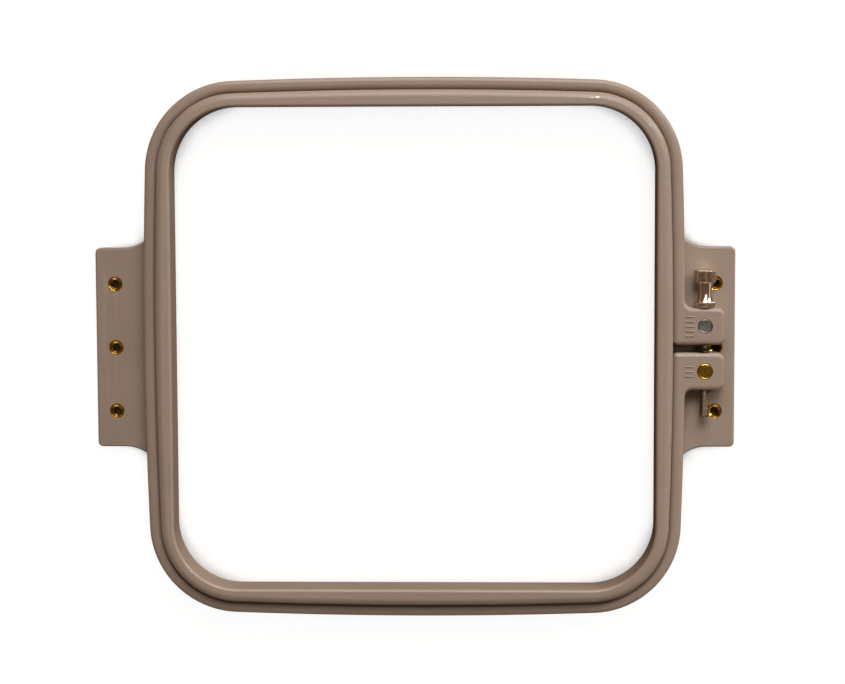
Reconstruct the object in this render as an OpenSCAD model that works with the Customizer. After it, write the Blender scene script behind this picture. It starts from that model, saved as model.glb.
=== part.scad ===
// Square tubular embroidery hoop: a plain inner ring with two mounting ears,
// and a split outer ring that a thumbscrew draws together round it.
// Millimetres. X runs towards the clamp, Y along the clamp screw, Z up from
// the operator's side to the cloth side. The origin is the middle of the
// opening, on the plane that the hoop lies on.

/* [Rings] */
// Clear width of the square opening
opening_w = 190.5; // [170:0.5:360]
// Corner radius of the opening
opening_r = 25.4; // [15:0.1:30]
// Thickness of the inner ring at the middle of a side
inner_wall = 6.6; // [6:0.05:12]
// Height of the inner ring
inner_h = 16.2; // [14:0.1:24]
// Running gap between the two rings
ring_gap = 0.15; // [0.1:0.01:0.6]
// Thickness of the outer ring
outer_wall = 4.7; // [3.6:0.05:6]
// Height of the outer ring
outer_h = 7.5; // [7.1:0.1:8.5]
// Outside corner radius of the outer ring
outer_corner_r = 35.5; // [30:0.5:38]
// How far the middle of each side bows outwards
side_bow = 1.25; // [0.6:0.05:2]
// Rounding of the inner ring's top towards the outer ring
inner_top_round = 2.5; // [1:0.1:3]
// Rounding of the inner ring's top towards the opening
opening_round = 1.2; // [0.4:0.1:2]
// Rounding of the outer ring's top, on the outside and round the lugs
outer_top_round = 1.25; // [0.4:0.05:1.5]
// Rounding of the outer ring's top towards the inner ring
groove_round = 1.6; // [0.4:0.05:1.7]
// Small break on the edges that face down
edge_break = 0.4; // [0.2:0.05:0.6]

/* [Ears] */
// Thickness of each ear plate
ear_t = 4; // [3:0.1:6]
// Height of the ear's underside above the ring's lower rim
ear_lift = 0.4; // [0.2:0.05:1]
// How far each ear reaches out from the inner ring
ear_reach = 24.95; // [22.5:0.05:30]
// Width of each ear along the side
ear_w = 79.5; // [70:0.5:90]
// Radius of the concave flare where an ear meets the ring
flare_r = 15; // [8:0.5:18]
// Corner radius of the ear's free corners
ear_corner_r = 2; // [1:0.1:4]
// Rounding of the ear's upper edge
ear_round = 0.7; // [0.3:0.1:1]
// Gap between the ears and the outer ring above them
seat_gap = 0.3; // [0.2:0.05:0.6]

/* [Threaded inserts] */
// Outside diameter of an insert
insert_d = 5.8; // [5.2:0.1:7]
// Diameter of the threaded hole
insert_bore_d = 3.3; // [2.5:0.1:3.4]
// Distance between neighbouring inserts
insert_pitch = 25.4; // [20:0.1:28]
// Distance of the inserts from the ear's end
insert_inset = 7.8; // [6:0.1:8]
// Depth of the countersink in an insert
insert_sink = 0.85; // [0.4:0.05:1.2]
// Radial clearance round an insert
insert_clear = 0.02; // [0.01:0.01:0.05]

/* [Clamp lugs] */
// Width of the split between the two lugs
split_w = 3.2; // [2.6:0.1:6]
// Length of each lug along the side
lug_len = 14.6; // [13.5:0.1:20]
// How far the lugs reach out from the outer ring
lug_reach = 15.5; // [14:0.1:18]
// Radius of the lugs' free corners
lug_corner_r = 3; // [1.5:0.1:4]
// Radius of the concave fillet between ring and lug
lug_fillet_r = 3; // [1.5:0.1:4]
// Radius of the ring's own corners at the split
split_corner_r = 1.9; // [1.8:0.1:2.2]
// Distance of the pins from the lug's end
pin_inset = 7.7; // [6.5:0.1:8]
// Gap at the face where the springy ring is opened into two
flex_gap = 0.05; // [0.03:0.01:0.1]

/* [Clamp pins] */
// Diameter of the grey swivel pin in the upper lug
swivel_d = 5.7; // [5:0.1:7]
// Diameter of the brass barrel nut in the lower lug
nut_d = 6.1; // [5.6:0.1:7.5]
// Depth of the swivel pin's head below the lug's top
swivel_sink = 0.2; // [0.1:0.05:0.5]
// Height of the pins' lower ends above the lugs' underside
pin_lift = 0.1; // [0:0.05:0.4]
// Height of the barrel nut above the lug's top
nut_proud = 0.15; // [0:0.05:0.4]
// Radial clearance of the pins in their lugs
pin_clear = 0.05; // [0.03:0.01:0.1]
// Chamfer on the pins' ends
pin_chamfer = 0.35; // [0.2:0.05:0.6]

/* [Clamp screw] */
// Outside diameter of the thread
thread_d = 3.9; // [3.2:0.1:4]
// Diameter of the plain shank
shank_d = 2.7; // [2:0.1:2.9]
// Length of thread that runs on into the split
thread_lead = 0.3; // [0.1:0.05:0.4]
// How far the screw's end stands out below the lower lug
screw_out = 11; // [6:0.5:14]
// Radial clearance of the thread in the barrel nut
thread_clear = 0.05; // [0.03:0.01:0.08]
// Radial clearance of the shank in the swivel pin
shank_clear = 0.08; // [0.05:0.01:0.1]
// Room round the screw in each lug, for the pins to swing
swing_room = 0.35; // [0.32:0.01:0.45]
// Diameter of the retaining clip
clip_d = 7.2; // [6:0.1:7.8]
// Thickness of the retaining clip
clip_t = 0.6; // [0.4:0.05:0.8]
// Width of the clip's outer band
clip_band = 1.2; // [0.9:0.05:1.3]
// Width of the clip's mouth
clip_mouth = 2.05; // [1.8:0.05:2.4]
// Width of each prong of the clip
prong_w = 1.45; // [1:0.05:1.6]
// Depth of the clip's groove in the shank
groove_depth = 0.35; // [0.2:0.05:0.5]
// Clearance of the clip in its groove
clip_clear = 0.03; // [0.02:0.01:0.06]

/* [Thumb knob] */
// Diameter over the knurled collars
knob_d = 8.6; // [7.5:0.1:9]
// Length of the knob
knob_len = 14.5; // [11:0.5:20]
// Length of the outer knurled collar
collar_len = 4.9; // [3:0.1:6]
// Length of the knurled collar next to the lug
foot_len = 2.1; // [1.5:0.1:3]
// Diameter of the waist where it meets the collars
waist_end_d = 6.9; // [6:0.1:7.2]
// Diameter of the middle of the waist
waist_d = 5.3; // [4.6:0.1:5.8]
// Number of knurl teeth round a collar
knurl_teeth = 22; // [16:1:30]
// Depth of the knurl
knurl_depth = 0.3; // [0.1:0.05:0.4]
// Gap between the knob and the lug it turns against
knob_gap = 0.2; // [0.18:0.01:0.4]
// Gap between the knob and the ear below it
knob_lift = 0.2; // [0.15:0.05:0.4]
// Depth of the screw's press fit in the knob
knob_grip = 11; // [6:0.5:11]

/* [Hidden] */

// Colours
plastic = "#958272";
brass = "#8a6420";
nickel = "#a39c92";
dull_grey = "#5b5652";
black_steel = "#26231f";

// Smoothness of true round surfaces
$fn = 48;
// Steps in the swept rings
side_steps = 8;
corner_steps = 12;
round_steps = 4;
arc_steps = 5;
split_steps = 2;

// How far a cut runs past the face that it opens
cut_over = 1;

// Heights
ear_top = ear_lift + ear_t;
outer_z = ear_top + seat_gap;
outer_top = outer_z + outer_h;
screw_z = ear_top + knob_lift + knob_d / 2;

// The rings share one master line, the outer ring's outer face: each side is
// a shallow arc of side_r round side_centre, and each corner is an arc round
// corner_centre that runs smoothly into both sides.
inner_face = opening_w / 2 + inner_wall;
outer_face = inner_face + ring_gap + outer_wall;
side_r = pow(outer_face - outer_corner_r, 2) / (2 * side_bow);
side_centre = outer_face - side_r;
corner_centre = (side_centre
    + sqrt(2 * pow(side_r - outer_corner_r, 2) - pow(side_centre, 2))) / 2;
side_angle = atan2(corner_centre, corner_centre - side_centre);

// Clamp
lug_end = outer_face + lug_reach;
pin_x = lug_end - pin_inset;
lug_y0 = split_w / 2;
lug_y1 = lug_y0 + lug_len;
pin_y = lug_y0 + lug_len / 2;
knob_y0 = lug_y1 + knob_gap;
screw_tip_y = -lug_y1 - screw_out;
thread_y1 = -lug_y0 + thread_lead;
clip_y = 0;
pin_z = outer_z + pin_lift;

// Ears
ear_end = inner_face + ear_reach;
insert_x = ear_end - insert_inset;
ear_root_x = inner_face - inner_wall / 2;
root_bite = 0.3;

// A station is [x, y, normal x, normal y] on an outline, with the normal
// pointing out of the material.
function turned(s, quarter) =
    quarter == 0 ? s
    : turned([-s[1], s[0], -s[3], s[2]], quarter - 1);
function side_station(quarter, t) =
    let (a = t * side_angle)
    turned([side_centre + side_r * cos(a), side_r * sin(a), cos(a), sin(a)], quarter);
function corner_station(quarter, f) =
    let (a = side_angle + f * (90 - 2 * side_angle))
    turned([corner_centre + outer_corner_r * cos(a),
        corner_centre + outer_corner_r * sin(a), cos(a), sin(a)], quarter);
function opening_side(quarter, t) =
    turned([opening_w / 2, t * (opening_w / 2 - opening_r), -1, 0], quarter);
function opening_corner(quarter, f) =
    let (c = opening_w / 2 - opening_r, a = 90 * f)
    turned([c + opening_r * cos(a), c + opening_r * sin(a), -cos(a), -sin(a)], quarter);
function inset(s, d) = [s[0] - s[2] * d, s[1] - s[3] * d, s[2], s[3]];
function facing_in(s, d) = [s[0] - s[2] * d, s[1] - s[3] * d, -s[2], -s[3]];
function arc(cx, cy, r, from, to, steps, sign) =
    [for (i = [0:steps]) let (a = from + (to - from) * i / steps)
        [cx + r * cos(a), cy + r * sin(a), sign * cos(a), sign * sin(a)]];
function mirrored(s) = [s[0], -s[1], s[2], -s[3]];
function reversed(list) = [for (i = [len(list) - 1:-1:0]) list[i]];

// A wall's profile from its lower to its upper edge, as [inset, height],
// with a small break below and a round edge above.
function wall_profile(z0, z1, r) = concat(
    [[edge_break, z0], [0, z0 + edge_break]],
    [for (i = [0:round_steps]) let (a = 90 * i / round_steps)
        [r * (1 - cos(a)), z1 - r + r * sin(a)]]);
function at(s, p) = [s[0] - s[2] * p[0], s[1] - s[3] * p[0], p[1]];
function section(outer, inner, outer_profile, inner_profile) = concat(
    [for (p = outer_profile) at(outer, p)],
    [for (p = reversed(inner_profile)) at(inner, p)]);

// Skins a row of equal sections. The caps of an open row run in strips from
// one wall to the other.
module skin(sections, closed) {
    m = len(sections[0]);
    n = len(sections);
    walls = [for (i = [0:closed ? n - 1 : n - 2], j = [0:m - 1])
        let (k = (i + 1) % n, l = (j + 1) % m)
        each [[i * m + j, i * m + l, k * m + l], [i * m + j, k * m + l, k * m + j]]];
    caps = closed ? [] : [for (j = [0:m / 2 - 2], last = [0, (n - 1) * m])
        let (a = last + j, b = last + j + 1, c = last + m - 2 - j, d = last + m - 1 - j)
        each last == 0 ? [[a, c, b], [a, d, c]] : [[a, b, c], [a, c, d]]];
    polyhedron([for (s = sections) each s], concat(walls, caps), convexity = 6);
}

// One free corner, end and fillet of the upper lug, from the split to the
// ring, and the stretch of the ring's inner face that lies behind it
lug_side_y = lug_y1 + lug_fillet_r;
lug_side_t = asin(lug_side_y / side_r) / side_angle;
lug_side_x = side_station(0, lug_side_t)[0];
split_x = outer_face - outer_wall + split_corner_r;
split_y = lug_y0 + split_corner_r;
lug_outer = concat(
    arc(split_x, split_y, split_corner_r, 240, 270, split_steps, 1),
    arc(lug_end - lug_corner_r, lug_y0 + lug_corner_r, lug_corner_r, -90, 0, arc_steps, 1),
    arc(lug_end - lug_corner_r, lug_y1 - lug_corner_r, lug_corner_r, 0, 90, arc_steps, 1),
    arc(lug_side_x + lug_fillet_r, lug_side_y, lug_fillet_r, 270, 180, arc_steps, -1));
lug_back_steps = len(lug_outer) - split_steps - 1;
lug_inner = concat(
    arc(split_x, split_y, split_corner_r, 210, 180, split_steps, 1),
    [for (i = [1:lug_back_steps])
        let (y = split_y + (lug_side_y - split_y) * i / lug_back_steps,
            t = asin(y / side_r) / side_angle)
        facing_in(side_station(0, t), outer_wall)]);

// Stations of the outer face for each piece, without the lug
upper_run = concat(
    [for (j = [1:arc_steps]) side_station(0, lug_side_t + (1 - lug_side_t) * j / arc_steps)],
    [for (q = [0:1]) each concat(
        [for (k = [1:corner_steps]) corner_station(q, k / corner_steps)],
        [for (j = [1:side_steps]) side_station(q + 1, 2 * j / side_steps - 1)])],
    [for (k = [1:corner_steps / 2]) corner_station(2, k / corner_steps)]);
lower_run = concat(
    [for (k = [corner_steps / 2:corner_steps]) corner_station(2, k / corner_steps)],
    [for (j = [1:side_steps]) side_station(3, 2 * j / side_steps - 1)],
    [for (k = [1:corner_steps]) corner_station(3, k / corner_steps)],
    [for (j = [1:arc_steps])
        side_station(0, -1 + (1 - lug_side_t) * j / arc_steps)]);

// The top's rounding towards the inner ring grows from the lugs' own along
// the ring's corner at the split.
corner_y = split_y - split_corner_r * sin(45);
function groove_share(s) =
    s[0] < 0 ? 1 : max(0, min(1, (abs(s[1]) - corner_y) / (split_y - corner_y)));
module outer_ring_piece(outer, inner) {
    profile = wall_profile(outer_z, outer_top, outer_top_round);
    skin([for (i = [0:len(outer) - 1])
        section(outer[i], inner[i], profile, wall_profile(outer_z, outer_top,
            outer_top_round + groove_share(inner[i]) * (groove_round - outer_top_round)))],
        false);
}

module pin_hole(y, d) {
    translate([pin_x, y, outer_z - cut_over])
        cylinder(d = d + 2 * pin_clear, h = outer_h + 2 * cut_over);
}

module screw_hole(y, d) {
    translate([pin_x, y - lug_len, screw_z])
        rotate([-90, 0, 0])
            cylinder(d = d, h = 2 * lug_len);
}

// Keeps the two pieces of the springy ring apart at the corner where it flexes
module flex_slot() {
    rotate([0, 0, -135])
        translate([outer_face, -flex_gap / 2, outer_z - cut_over])
            cube([2 * outer_corner_r, flex_gap, outer_h + 2 * cut_over]);
}

// The ring's left side, top and upper right, with the lug that holds the
// swivel pin
module outer_ring_upper() {
    color(plastic)
    difference() {
        outer_ring_piece(concat(lug_outer, upper_run),
            concat(lug_inner, [for (s = upper_run) facing_in(s, outer_wall)]));
        pin_hole(pin_y, swivel_d);
        screw_hole(pin_y, shank_d + 2 * swing_room);
        flex_slot();
    }
}

// The ring's bottom and lower right, with the lug that holds the barrel nut
module outer_ring_lower() {
    color(plastic)
    difference() {
        outer_ring_piece(
            concat(lower_run, reversed([for (s = lug_outer) mirrored(s)])),
            concat([for (s = lower_run) facing_in(s, outer_wall)],
                reversed([for (s = lug_inner) mirrored(s)])));
        pin_hole(-pin_y, nut_d);
        screw_hole(-pin_y, thread_d + 2 * swing_room);
        flex_slot();
    }
}

// Inner ring and ears, moulded in one
ring_depth = ring_gap + outer_wall;
flare_y = ear_w / 2 + flare_r;
flare_t = asin(flare_y / side_r) / side_angle;
flare_x = side_station(0, flare_t)[0] - ring_depth - root_bite + flare_r;
ear_line = concat(
    [[ear_root_x, flare_y, 0, 1]],
    arc(flare_x, flare_y, flare_r, 180, 270, 2 * arc_steps, -1),
    arc(ear_end - ear_corner_r, ear_w / 2 - ear_corner_r, ear_corner_r, 90, 0, arc_steps, 1));

module ear() {
    profile = wall_profile(ear_lift, ear_top, ear_round);
    skin([for (s = ear_line) section(mirrored(s), s, profile, profile)], false);
}

module inner_body() {
    outer_profile = wall_profile(0, inner_h, inner_top_round);
    opening_profile = wall_profile(0, inner_h, opening_round);
    skin([for (q = [0:3]) each concat(
        [for (j = [0:side_steps - 1]) let (t = 2 * j / side_steps - 1)
            section(inset(side_station(q, t), ring_depth), opening_side(q, t),
                outer_profile, opening_profile)],
        [for (k = [0:corner_steps - 1]) let (f = k / corner_steps)
            section(inset(corner_station(q, f), ring_depth), opening_corner(q, f),
                outer_profile, opening_profile)])], true);
}

module inner_ring() {
    color(plastic)
    difference() {
        union() {
            inner_body();
            ear();
            mirror([1, 0, 0]) ear();
        }
        for (side = [-1, 1], row = [-1:1])
            translate([side * insert_x, row * insert_pitch, ear_lift - cut_over])
                cylinder(d = insert_d + 2 * insert_clear, h = ear_t + 2 * cut_over);
    }
}

// A knurled brass sleeve, flush with both faces of the ear
module insert(side, row) {
    color(brass)
    translate([side * insert_x, row * insert_pitch, ear_lift])
    difference() {
        cylinder(d = insert_d, h = ear_t);
        translate([0, 0, -cut_over])
            cylinder(d = insert_bore_d, h = ear_t + 2 * cut_over);
        translate([0, 0, ear_t - insert_sink])
            cylinder(d1 = insert_bore_d, d2 = insert_bore_d + 2 * insert_sink,
                h = insert_sink);
    }
}

// An upright pin with a cross hole for the screw
module cross_pin(y, d, top, hole) {
    translate([pin_x, y, 0])
    difference() {
        rotate_extrude()
            polygon([[0, pin_z], [d / 2 - pin_chamfer, pin_z], [d / 2, pin_z + pin_chamfer],
                [d / 2, top - pin_chamfer], [d / 2 - pin_chamfer, top], [0, top]]);
        translate([0, -d, screw_z])
            rotate([-90, 0, 0])
                cylinder(d = hole, h = 2 * d);
    }
}

module swivel_pin() {
    color(dull_grey)
        cross_pin(pin_y, swivel_d, outer_top - swivel_sink, shank_d + 2 * shank_clear);
}

module barrel_nut() {
    color(brass)
        cross_pin(-pin_y, nut_d, outer_top + nut_proud, thread_d + 2 * thread_clear);
}

// Puts what is drawn along +Z onto the screw's axis, with its zero at y = 0
module on_screw_axis() {
    translate([pin_x, 0, screw_z])
        rotate([-90, 0, 0])
            children();
}

groove_r = shank_d / 2 - groove_depth;
groove_half = clip_t / 2 + clip_clear;
screw_chamfer = 0.6;
knob_bore_y1 = knob_y0 + knob_grip;

module clamp_screw() {
    color(nickel)
    on_screw_axis()
        rotate_extrude()
            polygon([[0, screw_tip_y], [thread_d / 2 - screw_chamfer, screw_tip_y],
                [thread_d / 2, screw_tip_y + screw_chamfer], [thread_d / 2, thread_y1],
                [shank_d / 2, thread_y1], [shank_d / 2, clip_y - groove_half],
                [groove_r, clip_y - groove_half], [groove_r, clip_y + groove_half],
                [shank_d / 2, clip_y + groove_half], [shank_d / 2, knob_bore_y1],
                [0, knob_bore_y1]]);
}

// A ring of teeth with flat tips and narrow grooves between them, as shares
// of the pitch from a tooth's middle
tooth_half = 0.34;
groove_mid = 0.5;
module knurled_disc(h) {
    tip = knob_d / 2;
    root = tip - knurl_depth;
    pitch = 360 / knurl_teeth;
    linear_extrude(h)
        polygon([for (i = [0:knurl_teeth - 1],
                p = [[-tooth_half, tip], [tooth_half, tip], [groove_mid, root]])
            let (a = (i + p[0]) * pitch) [p[1] * cos(a), p[1] * sin(a)]]);
}

// The chamfers' outline passes just outside the teeth
knob_chamfer = 0.4;
trim_r = knob_d / 2 + 0.01;
waist_y0 = knob_y0 + foot_len;
waist_y1 = knob_y0 + knob_len - collar_len;
waist_steps = 10;
knob_y1 = knob_y0 + knob_len;

// Outline of the waist: a parabola from collar to collar
waist_line = [for (i = [0:waist_steps]) let (f = 2 * i / waist_steps - 1)
    [waist_d / 2 + (waist_end_d - waist_d) / 2 * f * f,
        waist_y0 + (waist_y1 - waist_y0) * i / waist_steps]];

module thumb_knob() {
    color(nickel)
    on_screw_axis()
    difference() {
        union() {
            rotate_extrude()
                polygon(concat([[0, waist_y0]], waist_line, [[0, waist_y1]]));
            intersection() {
                union() {
                    translate([0, 0, knob_y0]) knurled_disc(foot_len);
                    translate([0, 0, waist_y1]) knurled_disc(collar_len);
                }
                rotate_extrude()
                    polygon([[0, knob_y0], [knob_d / 2 - knob_chamfer, knob_y0],
                        [trim_r, knob_y0 + knob_chamfer],
                        [trim_r, knob_y1 - knob_chamfer],
                        [knob_d / 2 - knob_chamfer, knob_y1], [0, knob_y1]]);
            }
        }
        translate([0, 0, knob_y0 - cut_over])
            cylinder(d = shank_d, h = knob_grip + cut_over);
    }
}

// A stamped clip with three prongs that snap into the shank's groove
prong_angles = [-90, 20, 160];

module retaining_clip() {
    color(black_steel)
    on_screw_axis()
        translate([0, 0, clip_y - clip_t / 2])
            linear_extrude(clip_t)
                difference() {
                    union() {
                        difference() {
                            circle(d = clip_d);
                            circle(d = clip_d - 2 * clip_band);
                            translate([-clip_mouth / 2, 0]) square([clip_mouth, clip_d]);
                        }
                        for (a = prong_angles)
                            rotate(a)
                                translate([0, -prong_w / 2])
                                    square([(clip_d - clip_band) / 2, prong_w]);
                    }
                    circle(r = groove_r + clip_clear);
                }
}

inner_ring();
outer_ring_upper();
outer_ring_lower();
swivel_pin();
barrel_nut();
clamp_screw();
thumb_knob();
retaining_clip();
insert(-1, 1);  // insert_left_top
insert(-1, 0);  // insert_left_middle
insert(-1, -1);  // insert_left_bottom
insert(1, 1);  // insert_right_top
insert(1, 0);  // insert_right_middle
insert(1, -1);  // insert_right_bottom
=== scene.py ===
# %% [markdown]
# # A square tubular embroidery hoop
# The real object is a plain moulded ring with two mounting ears, a springy split
# ring round it, and a brass and steel thumbscrew clamp that closes the split.
# The measured solids of the part are loaded first. Each visible piece is then made
# again with finer curves and real surface detail, in the same place and size.

import math

import bmesh
import bpy
from mathutils import Euler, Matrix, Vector


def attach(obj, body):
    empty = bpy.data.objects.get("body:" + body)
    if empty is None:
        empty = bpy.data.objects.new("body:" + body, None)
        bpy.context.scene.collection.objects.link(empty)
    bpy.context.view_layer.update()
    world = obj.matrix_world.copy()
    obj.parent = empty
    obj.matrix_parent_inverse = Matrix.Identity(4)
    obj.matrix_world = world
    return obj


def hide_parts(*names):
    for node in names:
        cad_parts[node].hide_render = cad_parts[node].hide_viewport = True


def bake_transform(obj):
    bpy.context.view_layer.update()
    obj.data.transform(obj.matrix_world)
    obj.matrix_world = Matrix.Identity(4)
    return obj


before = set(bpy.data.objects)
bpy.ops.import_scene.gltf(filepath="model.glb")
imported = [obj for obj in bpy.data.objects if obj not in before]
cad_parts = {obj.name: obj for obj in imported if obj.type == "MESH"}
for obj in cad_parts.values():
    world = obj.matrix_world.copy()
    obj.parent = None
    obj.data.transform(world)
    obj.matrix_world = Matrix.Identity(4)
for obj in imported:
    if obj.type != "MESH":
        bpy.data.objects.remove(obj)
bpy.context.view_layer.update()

# %% [markdown]
# ## Sizes
# The rings, ears and clamp all follow a few sizes in millimetres, the same ones that
# the solids were drawn from. Both rings share one master line: each side is a shallow
# arc that bows outwards, and each corner is a tighter arc that runs smoothly into it.
# Written as formulas, the line can be walked in as fine steps as the picture needs.

# %% Sizes of the rings, ears and clamp, in millimetres
MM = 0.001
OPENING_W, OPENING_R = 190.5, 25.4
INNER_WALL, INNER_H = 6.6, 16.2
RING_GAP, OUTER_WALL, OUTER_H = 0.15, 4.7, 7.5
OUTER_CORNER_R, SIDE_BOW = 35.5, 1.25
INNER_TOP_ROUND, OPENING_ROUND, EDGE_BREAK = 2.5, 1.2, 0.4
OUTER_TOP_ROUND, GROOVE_ROUND = 1.25, 1.6
INNER_CROWN, OUTER_CROWN, GROOVE_CROWN = 2.9, 1.75, 2.2   # how far the rounds reach in
EAR_T, EAR_LIFT, EAR_REACH, EAR_W = 4.0, 0.4, 24.95, 79.5
FLARE_R, EAR_CORNER_R, EAR_ROUND = 15.0, 2.0, 0.7
SPLIT_W, LUG_LEN, LUG_REACH = 3.2, 14.6, 15.5
LUG_CORNER_R, LUG_FILLET_R, SPLIT_CORNER_R, PIN_INSET = 3.0, 3.0, 1.9, 7.7

EAR_TOP = EAR_LIFT + EAR_T
OUTER_Z = EAR_TOP + 0.3
OUTER_TOP = OUTER_Z + OUTER_H
INNER_FACE = OPENING_W / 2 + INNER_WALL
RING_DEPTH = RING_GAP + OUTER_WALL
OUTER_FACE = INNER_FACE + RING_DEPTH
EAR_END = INNER_FACE + EAR_REACH
LUG_END = OUTER_FACE + LUG_REACH
LUG_Y0 = SPLIT_W / 2
LUG_Y1 = LUG_Y0 + LUG_LEN
PIN_X = LUG_END - PIN_INSET
PIN_Y = LUG_Y0 + LUG_LEN / 2
print("outer ring", round(2 * OUTER_FACE, 2), "mm wide, ears",
      round(2 * EAR_END, 2), "mm tip to tip")

# %% The master line
SIDE_R = (OUTER_FACE - OUTER_CORNER_R) ** 2 / (2 * SIDE_BOW)
SIDE_CENTRE = OUTER_FACE - SIDE_R
CORNER_ROOT = math.sqrt(2 * (SIDE_R - OUTER_CORNER_R) ** 2 - SIDE_CENTRE ** 2)
CORNER_CENTRE = (SIDE_CENTRE + CORNER_ROOT) / 2
SIDE_ANGLE = math.atan2(CORNER_CENTRE, CORNER_CENTRE - SIDE_CENTRE)


def turned(station, quarter):
    """A station is (x, y, normal x, normal y). Each quarter turns it by 90 degrees."""
    for _ in range(quarter % 4):
        x, y, nx, ny = station
        station = (-y, x, -ny, nx)
    return station


def arc(cx, cy, r, start, end, steps, sign=1):
    """Stations along an arc, in degrees. With sign -1 the normals point at its centre."""
    angles = [math.radians(start + (end - start) * i / steps) for i in range(steps + 1)]
    return [(cx + r * math.cos(a), cy + r * math.sin(a), sign * math.cos(a), sign * math.sin(a))
            for a in angles]


def side_station(quarter, t):
    a = t * SIDE_ANGLE
    x, y = SIDE_CENTRE + SIDE_R * math.cos(a), SIDE_R * math.sin(a)
    return turned((x, y, math.cos(a), math.sin(a)), quarter)


def corner_station(quarter, f):
    a = SIDE_ANGLE + f * (math.pi / 2 - 2 * SIDE_ANGLE)
    x = CORNER_CENTRE + OUTER_CORNER_R * math.cos(a)
    y = CORNER_CENTRE + OUTER_CORNER_R * math.sin(a)
    return turned((x, y, math.cos(a), math.sin(a)), quarter)


def side_run(quarter, start, end, steps):
    return [side_station(quarter, start + (end - start) * i / steps) for i in range(steps + 1)]


def corner_run(quarter, steps):
    return [corner_station(quarter, i / steps) for i in range(steps + 1)]


def facing_in(station, depth):
    """The station straight across a wall of that depth, facing the other way."""
    x, y, nx, ny = station
    return (x - nx * depth, y - ny * depth, -nx, -ny)


print("sides bow with a radius of", round(SIDE_R), "mm, corners turn round",
      round(CORNER_CENTRE, 2), "mm")

# %% [markdown]
# ## Making a moulding from its cross-section
# A moulded ring keeps one cross-section all the way round, so it is swept: the section
# is stood up at each station of a line and the sections are joined with quads. A sweep
# gives clean bands of faces that follow the rounded edges, so highlights run along them
# without breaks. Flat faces are kept flat by weighting the normals by face area.

# %% Helpers for sweeping and finishing meshes
SCENE = bpy.context.scene.collection


RIM_STEPS, EAR_STEPS, RING_STEPS = 4, 8, 12


def quarter_turn(steps):
    return [math.pi / 2 * i / steps for i in range(steps + 1)]


def wall_profile(z0, z1, top_round, steps, reach=None):
    """(inset, height) up one wall: a small round below and a larger one above. The upper
    round may reach further in than it goes down, as a crowned top does."""
    reach = reach or top_round
    low = [(EDGE_BREAK * (1 - math.sin(a)), z0 + EDGE_BREAK * (1 - math.cos(a)))
           for a in quarter_turn(RIM_STEPS)]
    high = [(reach * (1 - math.cos(a)), z1 - top_round + top_round * math.sin(a))
            for a in quarter_turn(steps)]
    return low + high


def section(outer, inner, outer_profile, inner_profile):
    def at(station, point):
        x, y, nx, ny = station
        inset, height = point
        return (x - nx * inset, y - ny * inset, height)
    return ([at(outer, p) for p in outer_profile]
            + [at(inner, p) for p in reversed(inner_profile)])


def skin(sections, closed):
    """Vertices and faces of a row of equal sections, capped at both ends if it is open."""
    m, n = len(sections[0]), len(sections)
    faces = []
    for i in range(n if closed else n - 1):
        k = (i + 1) % n
        for j in range(m):
            l = (j + 1) % m
            faces.append((i * m + j, i * m + l, k * m + l, k * m + j))
    if not closed:
        faces += [tuple(range(m)), tuple(range((n - 1) * m, n * m))]
    return [p for s in sections for p in s], faces


def solid(name, verts, faces, merge=0.002):
    """A mesh object from millimetres, with doubles merged and normals facing out."""
    mesh = bpy.data.meshes.new(name)
    mesh.from_pydata([Vector(v) * MM for v in verts], [], faces)
    bm = bmesh.new()
    bm.from_mesh(mesh)
    bmesh.ops.remove_doubles(bm, verts=bm.verts, dist=merge * MM)
    bmesh.ops.dissolve_degenerate(bm, edges=bm.edges, dist=merge * MM / 4)
    bmesh.ops.recalc_face_normals(bm, faces=bm.faces)
    bm.to_mesh(mesh)
    bm.free()
    piece = bpy.data.objects.new(name, mesh)
    SCENE.objects.link(piece)
    return piece


def settle(piece):
    """Applies the piece's modifiers to its mesh."""
    shown = piece.evaluated_get(bpy.context.evaluated_depsgraph_get())
    done = bpy.data.meshes.new_from_object(shown)
    piece.modifiers.clear()
    piece.data = done
    return piece


def combine(piece, tool, operation):
    """Cuts a tool's shape out of a piece or adds it, and removes the tool."""
    change = piece.modifiers.new(operation.lower(), "BOOLEAN")
    change.operation, change.solver, change.object = operation, "EXACT", tool
    settle(piece)
    bpy.data.objects.remove(tool)
    return piece


def finish_surface(piece, crease=34):
    """Smooth shading, with creases sharper than the angle kept and flats kept flat."""
    piece.data.shade_smooth()
    piece.data.set_sharp_from_angle(angle=math.radians(crease))
    weighted = piece.modifiers.new("flat_faces_stay_flat", "WEIGHTED_NORMAL")
    weighted.keep_sharp = True
    settle(piece)
    print(piece.name, len(piece.data.vertices), "vertices",
          [round(d / MM, 2) for d in piece.dimensions], "mm")
    return piece


# %% Helper for turned pieces
def upright(x, y):
    """Stands a turned piece at a place in the hoop, its heights along Z."""
    return lambda r, a, h: (x + r * math.cos(a), y + r * math.sin(a), h)


def revolved(rows, around, place):
    """Vertices and faces of a turned solid. A row is (height, radius), and the radius
    may be a function of the angle, which is what cuts a thread or a knurl."""
    verts, faces = [], []
    for h, r in rows:
        for k in range(around):
            a = 2 * math.pi * k / around
            verts.append(place(r(a) if callable(r) else r, a, h))
    for i in range(len(rows) - 1):
        for k in range(around):
            l = (k + 1) % around
            faces.append((i * around + k, i * around + l,
                          (i + 1) * around + l, (i + 1) * around + k))
    faces += [tuple(range(around)), tuple(range((len(rows) - 1) * around, len(rows) * around))]
    return verts, faces


def revolved_tube(rows, around, place):
    """A turned solid with a hole: its last row is joined to its first, with no caps."""
    verts, faces = revolved(rows, around, place)
    last = (len(rows) - 1) * around
    joined = [(last + k, last + (k + 1) % around, (k + 1) % around, k) for k in range(around)]
    return verts, faces[:-2] + joined


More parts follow.
